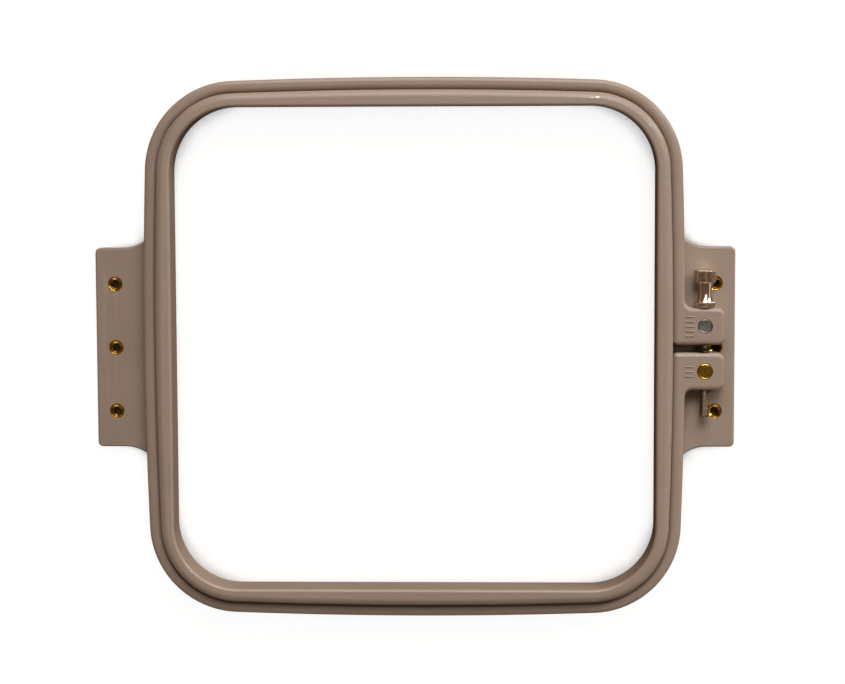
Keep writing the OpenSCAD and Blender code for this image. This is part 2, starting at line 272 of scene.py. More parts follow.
# %% [markdown]
# ## The inner ring
# The inner ring and both ears are one moulding. The ring stands a little higher than
# the outer ring and has a large round on the side that the cloth is stretched over.
# The ears are flat plates with a concave flare where they meet the ring. The ring is
# swept all round, the ears are swept on their own, and all three are united with exact
# booleans, since that leaves one closed skin as a real moulding has.

# %% Sweep the inner ring
FINE_SIDE, FINE_CORNER, FINE_ARC = 20, 40, 12


def opening_side(quarter, t):
    return turned((OPENING_W / 2, t * (OPENING_W / 2 - OPENING_R), -1, 0), quarter)


def opening_corner(quarter, f):
    c, a = OPENING_W / 2 - OPENING_R, f * math.pi / 2
    return turned((c + OPENING_R * math.cos(a), c + OPENING_R * math.sin(a),
                   -math.cos(a), -math.sin(a)), quarter)


def ring_section(outer, inner):
    x, y, nx, ny = outer
    wall = (x - nx * RING_DEPTH, y - ny * RING_DEPTH, nx, ny)
    return section(wall, inner,
                   wall_profile(0, INNER_H, INNER_TOP_ROUND, RING_STEPS, INNER_CROWN),
                   wall_profile(0, INNER_H, OPENING_ROUND, RING_STEPS))


ring_sections = []
for quarter in range(4):
    for i in range(FINE_SIDE):
        t = 2 * i / FINE_SIDE - 1
        ring_sections.append(ring_section(side_station(quarter, t), opening_side(quarter, t)))
    for i in range(FINE_CORNER):
        f = i / FINE_CORNER
        ring_sections.append(ring_section(corner_station(quarter, f), opening_corner(quarter, f)))
inner_ring = solid("inner_ring_moulding", *skin(ring_sections, True))
print("inner ring sections:", len(ring_sections))

# %% Sweep the ears and unite them with the ring
ROOT_X = INNER_FACE - INNER_WALL / 2
FLARE_Y = EAR_W / 2 + FLARE_R
FLARE_T = math.asin(FLARE_Y / SIDE_R) / SIDE_ANGLE
FLARE_BITE = 0.3   # how far the flare's end runs into the ring
FLARE_X = side_station(0, FLARE_T)[0] - RING_DEPTH - FLARE_BITE + FLARE_R
ear_line = [(ROOT_X, FLARE_Y, 0, 1)]
ear_line += arc(FLARE_X, FLARE_Y, FLARE_R, 180, 270, 2 * FINE_ARC, -1)
ear_line += arc(EAR_END - EAR_CORNER_R, EAR_W / 2 - EAR_CORNER_R, EAR_CORNER_R,
                90, 0, FINE_ARC)
ear_profile = wall_profile(EAR_LIFT, EAR_TOP, EAR_ROUND, EAR_STEPS)
for side in (1, -1):
    sections = [section((x, -y, nx, -ny), (x, y, nx, ny), ear_profile, ear_profile)
                for x, y, nx, ny in ear_line]
    verts, faces = skin(sections, False)
    ear = solid("ear", [(side * x, y, z) for x, y, z in verts], faces)
    combine(inner_ring, ear, "UNION")

# %% Bore the ears for their inserts
INSERT_D, INSERT_PITCH = 5.8, 25.4
INSERT_X = EAR_END - 7.8
SEAT_CHAMFER, SEAT_FIT, SEAT_STEPS = 0.12, 0.02, 64
BEYOND = 1   # how far a cutting tool stands out past the faces that it cuts
INSERTS = {f"insert_{side}_{row}": (sx * INSERT_X, sy * INSERT_PITCH)
           for side, sx in (("left", -1), ("right", 1))
           for row, sy in (("top", 1), ("middle", 0), ("bottom", -1))}
for x, y in INSERTS.values():
    r = INSERT_D / 2 + SEAT_FIT
    rows = [(EAR_LIFT - BEYOND, r), (EAR_TOP - SEAT_CHAMFER, r), (EAR_TOP, r + SEAT_CHAMFER),
            (EAR_TOP + BEYOND, r + SEAT_CHAMFER)]
    bore = solid("bore", *revolved(rows, SEAT_STEPS, upright(x, y)))
    combine(inner_ring, bore, "DIFFERENCE")
finish_surface(inner_ring)
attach(inner_ring, "inner_frame")
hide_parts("inner_ring")

# %% [markdown]
# ## The outer ring
# The outer ring is one springy moulding, split at the right, with a lug on each side of
# the split. When the screw is turned, the whole ring bends a little and the split
# opens. The part turns its lower half round the far corner for this. The ring is
# therefore swept as three lengths that meet on the straight sides: the two ends ride on
# the two halves, and the far corner between them stays fixed in place.

# %% The line round a lug
lug_side_y = LUG_Y1 + LUG_FILLET_R
lug_side_t = math.asin(lug_side_y / SIDE_R) / SIDE_ANGLE
lug_side_x = side_station(0, lug_side_t)[0]
split_x, split_y = OUTER_FACE - OUTER_WALL + SPLIT_CORNER_R, LUG_Y0 + SPLIT_CORNER_R
lug_corner_x, HALF_ARC = LUG_END - LUG_CORNER_R, 6
lug_outer = (arc(split_x, split_y, SPLIT_CORNER_R, 225, 270, HALF_ARC)
             + arc(lug_corner_x, LUG_Y0 + LUG_CORNER_R, LUG_CORNER_R, -90, 0, FINE_ARC)
             + arc(lug_corner_x, LUG_Y1 - LUG_CORNER_R, LUG_CORNER_R, 0, 90, FINE_ARC)
             + arc(lug_side_x + LUG_FILLET_R, lug_side_y, LUG_FILLET_R, 270, 180, FINE_ARC, -1))
lug_inner = arc(split_x, split_y, SPLIT_CORNER_R, 225, 180, HALF_ARC)
back_steps = len(lug_outer) - len(lug_inner)
for i in range(1, back_steps + 1):
    y = split_y + (lug_side_y - split_y) * i / back_steps
    lug_inner.append(facing_in(side_station(0, math.asin(y / SIDE_R) / SIDE_ANGLE), OUTER_WALL))
print("stations round a lug:", len(lug_outer))

# %% Sweep the three lengths
SEAM = 0.75   # where on a side two lengths meet: 0 is its middle and 1 its end
outer_profile = wall_profile(OUTER_Z, OUTER_TOP, OUTER_TOP_ROUND, RING_STEPS, OUTER_CROWN)


def inner_profile(station):
    """The top is rounder towards the inner ring, except where the wall turns into the split."""
    turn = SPLIT_CORNER_R * math.sin(math.radians(45))
    x, y = station[:2]
    share = 1.0 if x < 0 else min(1.0, max(0.0, (abs(y) - split_y + turn) / turn))
    down = OUTER_TOP_ROUND + share * (GROOVE_ROUND - OUTER_TOP_ROUND)
    reach = OUTER_CROWN + share * (GROOVE_CROWN - OUTER_CROWN)
    return wall_profile(OUTER_Z, OUTER_TOP, down, RING_STEPS, reach)


def outer_length(name, outer, inner):
    sections = [section(o, i, outer_profile, inner_profile(i)) for o, i in zip(outer, inner)]
    return solid(name, *skin(sections, False))


def flipped(stations):
    return [(x, -y, nx, -ny) for x, y, nx, ny in reversed(stations)]


def across(stations):
    return [facing_in(s, OUTER_WALL) for s in stations]


upper_run = (side_run(0, lug_side_t, 1, FINE_ARC)[1:] + corner_run(0, FINE_CORNER)[1:]
             + side_run(1, -1, 1, FINE_SIDE)[1:] + corner_run(1, FINE_CORNER)[1:]
             + side_run(2, -1, SEAM, FINE_SIDE)[1:])
bend_run = (side_run(2, SEAM, 1, HALF_ARC) + corner_run(2, FINE_CORNER)[1:]
            + side_run(3, -1, -SEAM, HALF_ARC)[1:])
lower_run = (side_run(3, -SEAM, 1, FINE_SIDE) + corner_run(3, FINE_CORNER)[1:]
             + side_run(0, -1, -lug_side_t, FINE_ARC)[1:-1])
outer_upper = outer_length("outer_ring_upper_moulding", lug_outer + upper_run,
                           lug_inner + across(upper_run))
outer_bend = outer_length("outer_ring_far_corner", bend_run, across(bend_run))
outer_lower = outer_length("outer_ring_lower_moulding", lower_run + flipped(lug_outer),
                           across(lower_run) + flipped(lug_inner))
print("outer ring lengths:", len(upper_run), len(bend_run), len(lower_run))

# %% [markdown]
# ## Holes in the lugs
# Each lug is bored upright for its pin and along the ring for the screw. The mouths of
# the upright holes have a tiny chamfer, as a moulded hole has, which catches a thin
# line of light round each pin.

# %% Bore the lugs
SCREW_Z = EAR_TOP + 0.2 + 8.6 / 2
SWIVEL_D, NUT_D, THREAD_D, SHANK_D = 5.7, 6.1, 3.9, 2.7
PIN_FIT, SCREW_FIT, MOUTH_CHAMFER = 0.05, 0.35, 0.15
PIN_STEPS, SCREW_BORE_STEPS = 72, 48


def along_screw(r, a, h):
    """Lays a turned piece on the clamp screw's axis, its heights along Y."""
    return (PIN_X + r * math.sin(a), h, SCREW_Z + r * math.cos(a))


def bore_lug(piece, y, pin_d, screw_d):
    r = pin_d / 2 + PIN_FIT
    rows = [(OUTER_Z - BEYOND, r), (OUTER_TOP - MOUTH_CHAMFER, r),
            (OUTER_TOP, r + MOUTH_CHAMFER), (OUTER_TOP + BEYOND, r + MOUTH_CHAMFER)]
    pin_bore = solid("pin_bore", *revolved(rows, PIN_STEPS, upright(PIN_X, y)))
    combine(piece, pin_bore, "DIFFERENCE")
    r = screw_d / 2 + SCREW_FIT
    rows = [(y - LUG_LEN, r), (y + LUG_LEN, r)]
    screw_bore = solid("screw_bore", *revolved(rows, SCREW_BORE_STEPS, along_screw))
    combine(piece, screw_bore, "DIFFERENCE")


bore_lug(outer_upper, PIN_Y, SWIVEL_D, SHANK_D)
bore_lug(outer_lower, -PIN_Y, NUT_D, THREAD_D)
for piece in (outer_upper, outer_bend, outer_lower):
    finish_surface(piece)
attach(outer_upper, "outer_upper")
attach(outer_lower, "outer_lower")
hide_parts("outer_ring_upper")
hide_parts("outer_ring_lower")
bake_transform(outer_bend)

# %% [markdown]
# ## Raised marks on the lugs
# The real lugs carry small raised moulded marks beside the pins. Here they are plain
# short bars that say nothing. Each is a low rounded bar, a quarter of a millimetre
# high, so only its edges catch the light.

# %% Raise the bars
BAR_W, BAR_H, BAR_ROOT, BAR_STEPS = 0.6, 0.26, 0.05, 16


def bar(cx, cy, length):
    """Vertices and faces of one bar along X with round ends and a softened top."""
    verts, faces = [], []
    levels = [(0, OUTER_TOP - BAR_ROOT), (0, OUTER_TOP + BAR_H * 0.5),
              (0.07, OUTER_TOP + BAR_H * 0.85), (0.16, OUTER_TOP + BAR_H)]
    for inset, z in levels:
        r = BAR_W / 2 - inset
        for k in range(2 * BAR_STEPS):
            a = math.pi * (k + 0.5) / BAR_STEPS
            shift = (length - BAR_W) / 2 * (1 if math.cos(a) > 0 else -1)
            verts.append((cx + shift + r * math.cos(a), cy + r * math.sin(a), z))
    m = 2 * BAR_STEPS
    for i in range(len(levels) - 1):
        faces += [(i * m + k, i * m + (k + 1) % m,
                   (i + 1) * m + (k + 1) % m, (i + 1) * m + k) for k in range(m)]
    return verts, faces + [tuple(range(m)), tuple(range(3 * m, 4 * m))]


def raised_bars(name, body, centres):
    verts, faces = [], []
    for cx, cy, length in centres:
        v, f = bar(cx, cy, length)
        faces += [tuple(i + len(verts) for i in face) for face in f]
        verts += v
    piece = finish_surface(solid(name, verts, faces))
    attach(piece, body)
    return piece


BAR_X, BAR_LENGTH, BAR_PITCH = 108.4, 3.6, 1.9
upper_bars = raised_bars("upper_lug_raised_bars", "outer_upper",
                         [(BAR_X, PIN_Y + BAR_PITCH * i, BAR_LENGTH) for i in (-2, -1, 0, 1, 2)])
lower_bars = raised_bars("lower_lug_raised_bars", "outer_lower",
                         [(BAR_X, -PIN_Y + BAR_PITCH * i, BAR_LENGTH) for i in (-1, 0, 1)])

# %% [markdown]
# ## Threads
# A thread is a V groove that climbs by one pitch in each turn. On a turned mesh that
# needs no modelling at all: the radius at each point is read from a saw-tooth of its
# height less its angle, so the ridges come out as a true helix. The pitch here is
# 0.7 mm, which is the pitch of an M4 screw.

# %% A helical thread as a radius that depends on the angle
PITCH = 0.7
ROOT_SHARE, FLANK_SHARE = 0.15, 0.7   # of half a pitch: the flat root, then the flank


def thread(core, crest, h):
    """The thread's radius at height h, as a function of the angle."""
    def radius(a):
        turn = (h / PITCH + a / (2 * math.pi)) % 1.0
        ramp = abs(2 * turn - 1)
        return core + (crest - core) * min(1.0, max(0.0, (ramp - ROOT_SHARE) / FLANK_SHARE))
    return radius


def spread(h0, h1, steps):
    return [h0 + (h1 - h0) * i / steps for i in range(steps + 1)]


# %% [markdown]
# ## Brass inserts
# Each ear holds three threaded brass sleeves, pressed flush into the plastic. A sleeve
# is turned: it has a bright flat rim, a countersink that leads the screw in, and a
# threaded bore. The dark hole with one bright patch on the countersink is what makes
# it look like brass, so the thread is real geometry and not a painted ring.

# %% Turn the six inserts
BORE_R, SINK, CORE_DEPTH, SLEEVE_RIM = 1.65, 0.85, 0.3, 0.1
SLEEVE_STEPS, BORE_ROWS = 56, 40


def insert_sleeve(name, x, y):
    rim, low = SLEEVE_RIM, EAR_LIFT
    rows = [(low, BORE_R + 0.4), (low, INSERT_D / 2 - rim), (low + rim, INSERT_D / 2),
            (EAR_TOP - rim, INSERT_D / 2), (EAR_TOP, INSERT_D / 2 - rim),
            (EAR_TOP, BORE_R + SINK), (EAR_TOP - 0.04, BORE_R + SINK - 0.05),
            (EAR_TOP - SINK + 0.2, BORE_R + 0.35)]
    bore_heights = spread(EAR_TOP - SINK + 0.1, low + 0.15, BORE_ROWS)
    rows += [(h, thread(BORE_R, BORE_R + CORE_DEPTH, h)) for h in bore_heights]
    return finish_surface(solid(name, *revolved_tube(rows, SLEEVE_STEPS, upright(x, y))), 40)


insert_pieces = []
for node, (x, y) in INSERTS.items():
    piece = insert_sleeve(node + "_sleeve", x, y)
    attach(piece, "inner_frame")
    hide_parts(node)
    insert_pieces.append(piece)

# %% [markdown]
# ## The two pins
# A grey steel pin stands in the upper lug and swivels with the screw. A brass barrel
# nut stands in the lower lug and takes the thread. Both are short turned cylinders
# with chamfered ends. The steel pin's end is dished a little from being sheared, and
# the nut's end has fine rings from the lathe, left as very shallow steps.

# %% Turn the pins
PIN_Z, PIN_CHAMFER, CROSS_HOLE_STEPS = OUTER_Z + 0.1, 0.35, 40


def cross_pin(name, y, d, face_rows, top, hole):
    """An upright pin. face_rows are (share of the face's radius, depth) from the edge in."""
    flat = d / 2 - PIN_CHAMFER
    rows = [(PIN_Z, 0.0), (PIN_Z, flat), (PIN_Z + PIN_CHAMFER, d / 2),
            (top - PIN_CHAMFER, d / 2),
            (top - PIN_CHAMFER * 0.35, d / 2 - PIN_CHAMFER * 0.3), (top, flat)]
    rows += [(top - depth, flat * share) for share, depth in face_rows]
    piece = solid(name, *revolved(rows, PIN_STEPS, upright(PIN_X, y)))
    across_pin = [(y - d, hole / 2), (y + d, hole / 2)]
    cross_hole = solid("cross_hole", *revolved(across_pin, CROSS_HOLE_STEPS, along_screw))
    combine(piece, cross_hole, "DIFFERENCE")
    return finish_surface(piece, 30)


sheared_dish = [(0.96, 0.03), (0.8, 0.05), (0.5, 0.075), (0.2, 0.085), (0.0, 0.085)]
swivel_pin = cross_pin("swivel_pin_sheared", PIN_Y, SWIVEL_D, sheared_dish,
                       OUTER_TOP - 0.2, SHANK_D + 0.16)
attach(swivel_pin, "swivel")
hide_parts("swivel_pin")
lathe_rings = [(0.97, 0.05), (0.93, 0.06)]
lathe_rings += [(0.9 - 0.06 * i, 0.06 + 0.012 * (i % 2)) for i in range(15)] + [(0.0, 0.06)]
barrel_nut = cross_pin("barrel_nut_turned", -PIN_Y, NUT_D, lathe_rings,
                       OUTER_TOP + 0.15, THREAD_D + 0.1)
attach(barrel_nut, "nut")
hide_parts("barrel_nut")

# %% [markdown]
# ## The clamp screw
# The screw has a plain shank with a groove for the clip, and a rolled thread below it
# that runs through the barrel nut and stands out past the lug. Its rows are an eighth
# of a pitch apart, so each ridge is round enough to catch its own line of light.

# %% Turn the screw
TIP_Y, THREAD_Y = -(LUG_Y1 + 11), -LUG_Y0 + 0.3
SCREW_CHAMFER, GROOVE_HALF, GROOVE_R = 0.6, 0.33, SHANK_D / 2 - 0.35
GROOVE_BREAK = 0.05
KNOB_Y0 = LUG_Y1 + 0.2
SHANK_END = KNOB_Y0 + 11
THREAD_CORE = THREAD_D / 2 - 0.4
ROWS_PER_PITCH, SCREW_STEPS = 8, 40


def tapered(h):
    """The thread's radius, cut back where the end of the screw is chamfered."""
    ridge = thread(THREAD_CORE, THREAD_D / 2, h)
    limit = THREAD_D / 2 - SCREW_CHAMFER + (h - TIP_Y)
    return lambda a: min(ridge(a), limit)


rows = [(TIP_Y, 0.0), (TIP_Y, THREAD_D / 2 - SCREW_CHAMFER)]
thread_rows = int((THREAD_Y - TIP_Y) / (PITCH / ROWS_PER_PITCH))
rows += [(h, tapered(h)) for h in spread(TIP_Y + 0.02, THREAD_Y - 0.1, thread_rows)]
rows += [(THREAD_Y, SHANK_D / 2), (-GROOVE_HALF - GROOVE_BREAK, SHANK_D / 2),
         (-GROOVE_HALF, SHANK_D / 2 - GROOVE_BREAK), (-GROOVE_HALF, GROOVE_R),
         (GROOVE_HALF, GROOVE_R), (GROOVE_HALF, SHANK_D / 2 - GROOVE_BREAK),
         (GROOVE_HALF + GROOVE_BREAK, SHANK_D / 2), (SHANK_END, SHANK_D / 2), (SHANK_END, 0.0)]
screw_mesh = revolved(rows, SCREW_STEPS, along_screw)
clamp_screw = finish_surface(solid("clamp_screw_threaded", *screw_mesh, merge=0.001), 50)
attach(clamp_screw, "screw")
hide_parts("clamp_screw")

# %% [markdown]
# ## The thumb knob
# The knob is a small turned and knurled spool, pressed on the shank: a wide straight
# knurled collar at its outer end, a narrow one next to the lug, and a smooth waist
# between. The knurl is again a radius that depends on the angle, with flat-topped
# teeth, and the chamfers cut across the teeth as a lathe would.

# %% Turn and knurl the knob
KNOB_D, KNOB_LEN, COLLAR, FOOT = 8.6, 14.5, 4.9, 2.1
WAIST_END, WAIST, TEETH, KNURL = 6.9, 5.3, 22, 0.42
KNOB_Y1 = KNOB_Y0 + KNOB_LEN
LAND_SHARE, KNURL_SHARE = 0.2, 0.25   # of a tooth's pitch: half its flat top, then its flank
STEPS_PER_TOOTH, WAIST_STEPS, DISH_DEPTH = 12, 24, 0.2


def knurled(limit):
    """Straight teeth round a collar, cut back to a limiting radius by its chamfer."""
    def radius(a):
        from_tooth = abs((a * TEETH / (2 * math.pi) + 0.5) % 1.0 - 0.5)
        groove = min(1.0, max(0.0, (from_tooth - LAND_SHARE) / KNURL_SHARE))
        return min(limit, KNOB_D / 2 - KNURL * groove)
    return radius


def collar_rows(h0, h1, chamfer=0.4):
    heights = [(h0, chamfer), (h0 + chamfer / 2, chamfer / 2), (h0 + chamfer, 0),
               (h1 - chamfer, 0), (h1 - chamfer / 2, chamfer / 2), (h1, chamfer)]
    return [(h, knurled(KNOB_D / 2 - back)) for h, back in heights]


waist_y0, waist_y1 = KNOB_Y0 + FOOT, KNOB_Y1 - COLLAR
waist = []
for i in range(WAIST_STEPS + 1):
    f = 2 * i / WAIST_STEPS - 1
    waist.append((waist_y0 + (waist_y1 - waist_y0) * i / WAIST_STEPS,
                  WAIST / 2 + (WAIST_END - WAIST) / 2 * f * f))
rows = ([(KNOB_Y0, SHANK_D / 2)] + collar_rows(KNOB_Y0, waist_y0) + waist
        + collar_rows(waist_y1, KNOB_Y1))
rows += [(KNOB_Y1, 2.9), (KNOB_Y1 - 0.12, 2.7), (KNOB_Y1 - DISH_DEPTH, 1.2),
         (KNOB_Y1 - DISH_DEPTH, 0.0), (SHANK_END, 0.0), (SHANK_END, SHANK_D / 2)]
knob_mesh = revolved_tube(rows, TEETH * STEPS_PER_TOOTH, along_screw)
thumb_knob = finish_surface(solid("thumb_knob_knurled", *knob_mesh), 32)
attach(thumb_knob, "screw")
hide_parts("thumb_knob")

# %% [markdown]
# ## The retaining clip
# A stamped spring clip sits in the shank's groove, inside the split, and keeps the
# screw from falling out. It is a flat open ring with three prongs. Its outline is
# written point by point as a radius round the screw, then given its thickness, with
# the edges rounded slightly by the stamping.

# %% Stamp the clip
CLIP_D, CLIP_T, BAND, PRONG, MOUTH_HALF = 7.2, 0.6, 1.2, 1.45, 0.292
PRONG_FIT, ROOT_STEP, EDGE_ROUND, CLIP_STEPS = 0.03, 0.1, 0.08, 72


def clip_outline(back):
    """Points (radius, angle) round the clip, set in by a small distance."""
    outer, band_r = CLIP_D / 2 - back, CLIP_D / 2 - BAND + back
    tip = GROOVE_R + PRONG_FIT + back
    mouth = math.pi - MOUTH_HALF - back / outer
    points = [(outer, -mouth + 2 * mouth * i / CLIP_STEPS) for i in range(CLIP_STEPS + 1)]
    inner = [(band_r, mouth)]
    for middle in (math.radians(110), 0.0, math.radians(-110)):
        half_band = (PRONG / 2 - back) / band_r
        half_tip = min(math.asin(min(0.99, (PRONG / 2 - back) / tip)), 0.75)
        inner += [(band_r, middle + half_band + 0.12), (band_r - ROOT_STEP, middle + half_band)]
        inner += [(tip, middle + half_tip * (1 - i / 3)) for i in range(7)]
        inner += [(band_r - ROOT_STEP, middle - half_band), (band_r, middle - half_band - 0.12)]
        inner += [(band_r, middle - half_band - 0.12 - 0.25 * i) for i in (1, 2)]
    inner += [(band_r, -mouth)]
    return points + inner


levels = [(EDGE_ROUND, -CLIP_T / 2), (0.0, -CLIP_T / 2 + EDGE_ROUND),
          (0.0, CLIP_T / 2 - EDGE_ROUND), (EDGE_ROUND, CLIP_T / 2)]
clip_sections = [[along_screw(r, a, h) for r, a in clip_outline(back)] for back, h in levels]
clip_mesh = skin(clip_sections, False)
retaining_clip = finish_surface(solid("retaining_clip_stamped", *clip_mesh), 30)
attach(retaining_clip, "screw")
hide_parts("retaining_clip")

# %% [markdown]
# ## Colours and materials
# Each material starts from the real one and is named for it. Colours are written as
# the hex values that a paint or photo program shows, and turned to the linear values
# that the renderer works in. Patterns are sized in millimetres of real surface: a
# noise whose grains are a millimetre wide has a scale of one thousand per metre.

# %% Helpers for materials
def linear(hex_colour):
    """An sRGB hex colour as linear RGBA."""
    channels = [int(hex_colour[i:i + 2], 16) / 255 for i in (1, 3, 5)]
    return [c / 12.92 if c <= 0.04045 else ((c + 0.055) / 1.055) ** 2.4 for c in channels] + [1.0]


def per_mm(size):
    """The scale of a pattern whose grains are that many millimetres wide."""
    return 1000 / size


def add_node(tree, kind, settings=None, links=None):
    """Adds a node. Settings name its properties or sockets, and links feed its sockets."""
    made = tree.nodes.new(kind)
    for key, value in (settings or {}).items():
        if isinstance(key, str) and hasattr(made, key):
            setattr(made, key, value)
        else:
            made.inputs[key].default_value = value
    for key, source in (links or {}).items():
        tree.links.new(source, made.inputs[key])
    return made


def new_material(name):
    """An empty material with its tree, and the place of a point in the part's own frame."""
    material = bpy.data.materials.new(name)
    material.use_nodes = True
    tree = material.node_tree
    tree.nodes.clear()
    where = add_node(tree, "ShaderNodeTexCoord").outputs["Object"]
    return material, tree, where


def show(tree, shader):
    add_node(tree, "ShaderNodeOutputMaterial", links={"Surface": shader.outputs[0]})


def dress(material, *pieces):
    for piece in pieces:
        piece.data.materials.clear()
        piece.data.materials.append(material)
    print(material.name, "on", [piece.name for piece in pieces])


# %% [markdown]
# ## Taupe moulded plastic
# Both rings are injection-moulded ABS in a warm grey, moulded against a finely
# polished tool: semi-gloss, with a faint mottle in the colour, a slight orange peel
# that softens long highlights, and a few hair scratches and specks from use. The
# edges that rub against cloth and machine are a little paler.

# %% Mix the plastic
MOTTLE_MM, GRAIN_MM, SPECK_MM, HAIR_MM, PEEL_MM = 18, 0.7, 9, 14, 1.6
HAIR_STRETCH, HAIR_TURN = (1.0, 14.0, 1.0), (0.0, 0.0, 0.6)
PEEL_DEPTH, HAIR_DEPTH = 0.00004, 0.00002   # metres
SPECK_COLOUR = "#4a3c31"


def moulded_abs(name, base, pale, deep, seed):
    """Semi-gloss plastic with a mottle, a grain, rubbed edges, specks and hair scratches."""
    material, tree, where = new_material(name)
    cloud = add_node(tree, "ShaderNodeTexNoise",
                     {"noise_dimensions": "4D", "W": seed, "Scale": per_mm(MOTTLE_MM),
                      "Detail": 3.0}, {"Vector": where})
    grain = add_node(tree, "ShaderNodeTexNoise",
                     {"noise_dimensions": "4D", "W": seed, "Scale": per_mm(GRAIN_MM),
                      "Detail": 4.0, "Roughness": 0.65}, {"Vector": where})
    tint = add_node(tree, "ShaderNodeValToRGB", links={"Fac": cloud.outputs["Fac"]})
    low, high = tint.color_ramp.elements
    low.position, high.position = 0.3, 0.7
    low.color, high.color = linear(deep), linear(base)
    speckle = add_node(tree, "ShaderNodeMapRange",
                       {"From Min": 0.35, "From Max": 0.7, "To Min": 0.0, "To Max": 0.14},
                       {"Value": grain.outputs["Fac"]})
    mottled = add_node(tree, "ShaderNodeMix", {"data_type": "RGBA", 7: linear(pale)},
                       {0: speckle.outputs["Result"], 6: tint.outputs["Color"]})
    edge = add_node(tree, "ShaderNodeNewGeometry")
    worn = add_node(tree, "ShaderNodeMapRange",
                    {"From Min": 0.52, "From Max": 0.62, "To Min": 0.0, "To Max": 0.3},
                    {"Value": edge.outputs["Pointiness"]})
    rubbed = add_node(tree, "ShaderNodeMix", {"data_type": "RGBA", 7: linear(pale)},
                      {0: worn.outputs["Result"], 6: mottled.outputs[2]})
    specks = add_node(tree, "ShaderNodeTexVoronoi",
                      {"Scale": per_mm(SPECK_MM), "Randomness": 1.0}, {"Vector": where})
    speck = add_node(tree, "ShaderNodeMapRange",
                     {"From Min": 0.012, "From Max": 0.02, "To Min": 0.6, "To Max": 0.0},
                     {"Value": specks.outputs["Distance"]})
    dusty = add_node(tree, "ShaderNodeMix", {"data_type": "RGBA", 7: linear(SPECK_COLOUR)},
                     {0: speck.outputs["Result"], 6: rubbed.outputs[2]})
    along = add_node(tree, "ShaderNodeMapping",
                     {"Scale": HAIR_STRETCH, "Rotation": HAIR_TURN}, {"Vector": where})
    hair = add_node(tree, "ShaderNodeTexNoise",
                    {"Scale": per_mm(HAIR_MM), "Detail": 5.0, "Roughness": 0.8},
                    {"Vector": along.outputs["Vector"]})
    scratch = add_node(tree, "ShaderNodeMapRange",
                       {"From Min": 0.62, "From Max": 0.72, "To Min": 0.0, "To Max": 1.0},
                       {"Value": hair.outputs["Fac"]})
    gloss = add_node(tree, "ShaderNodeMapRange",
                     {"From Min": 0.3, "From Max": 0.7, "To Min": 0.44, "To Max": 0.52},
                     {"Value": cloud.outputs["Fac"]})
    dull = add_node(tree, "ShaderNodeMath", {"operation": "MULTIPLY_ADD", 1: 0.1},
                    {0: scratch.outputs["Result"], 2: gloss.outputs["Result"]})
    peel = add_node(tree, "ShaderNodeTexNoise", {"Scale": per_mm(PEEL_MM), "Detail": 2.0},
                    {"Vector": where})
    relief = add_node(tree, "ShaderNodeBump", {"Strength": 0.12, "Distance": PEEL_DEPTH},
                      {"Height": peel.outputs["Fac"]})
    fine = add_node(tree, "ShaderNodeBump",
                    {"Strength": 0.3, "Distance": HAIR_DEPTH, "invert": True},
                    {"Height": scratch.outputs["Result"], "Normal": relief.outputs["Normal"]})
    shader = add_node(tree, "ShaderNodeBsdfPrincipled",
                      {"IOR": 1.53, "Metallic": 0.0, "Specular IOR Level": 0.25,
                       "Coat Weight": 0.14, "Coat Roughness": 0.05},
                      {"Base Color": dusty.outputs[2], "Roughness": dull.outputs["Value"],
                       "Normal": fine.outputs["Normal"]})
    show(tree, shader)
    return material


taupe_inner = moulded_abs("moulded_abs_taupe_inner", "#968374", "#a99687", "#928071", 1.0)
taupe_outer = moulded_abs("moulded_abs_taupe_outer", "#958273", "#a89586", "#917e70", 7.0)
dress(taupe_inner, inner_ring)
dress(taupe_outer, outer_upper, outer_bend, outer_lower, upper_bars, lower_bars)

# %% [markdown]
# ## Metals
# The inserts and the barrel nut are free-cutting brass, turned and a little tarnished:
# gold where they catch the light and brown where they don't. The knob and screw are
# nickel-plated steel, the grey pin is bare sheared steel with a mottled oxide skin,
# and the clip is spring steel with a black oxide. A metal's colour is all in its
# reflection, so what sets them apart is the tint, the roughness and the tool marks.

# %% Mix the turned metals
TARNISH_MM, TOOL_MM, RING_MM = 1.8, 0.25, 0.16
MARK_DEPTH = 0.00001   # metres
WAVE_UNIT = 2 * math.pi / 20   # the wave texture's scale for one ring in each unit of length


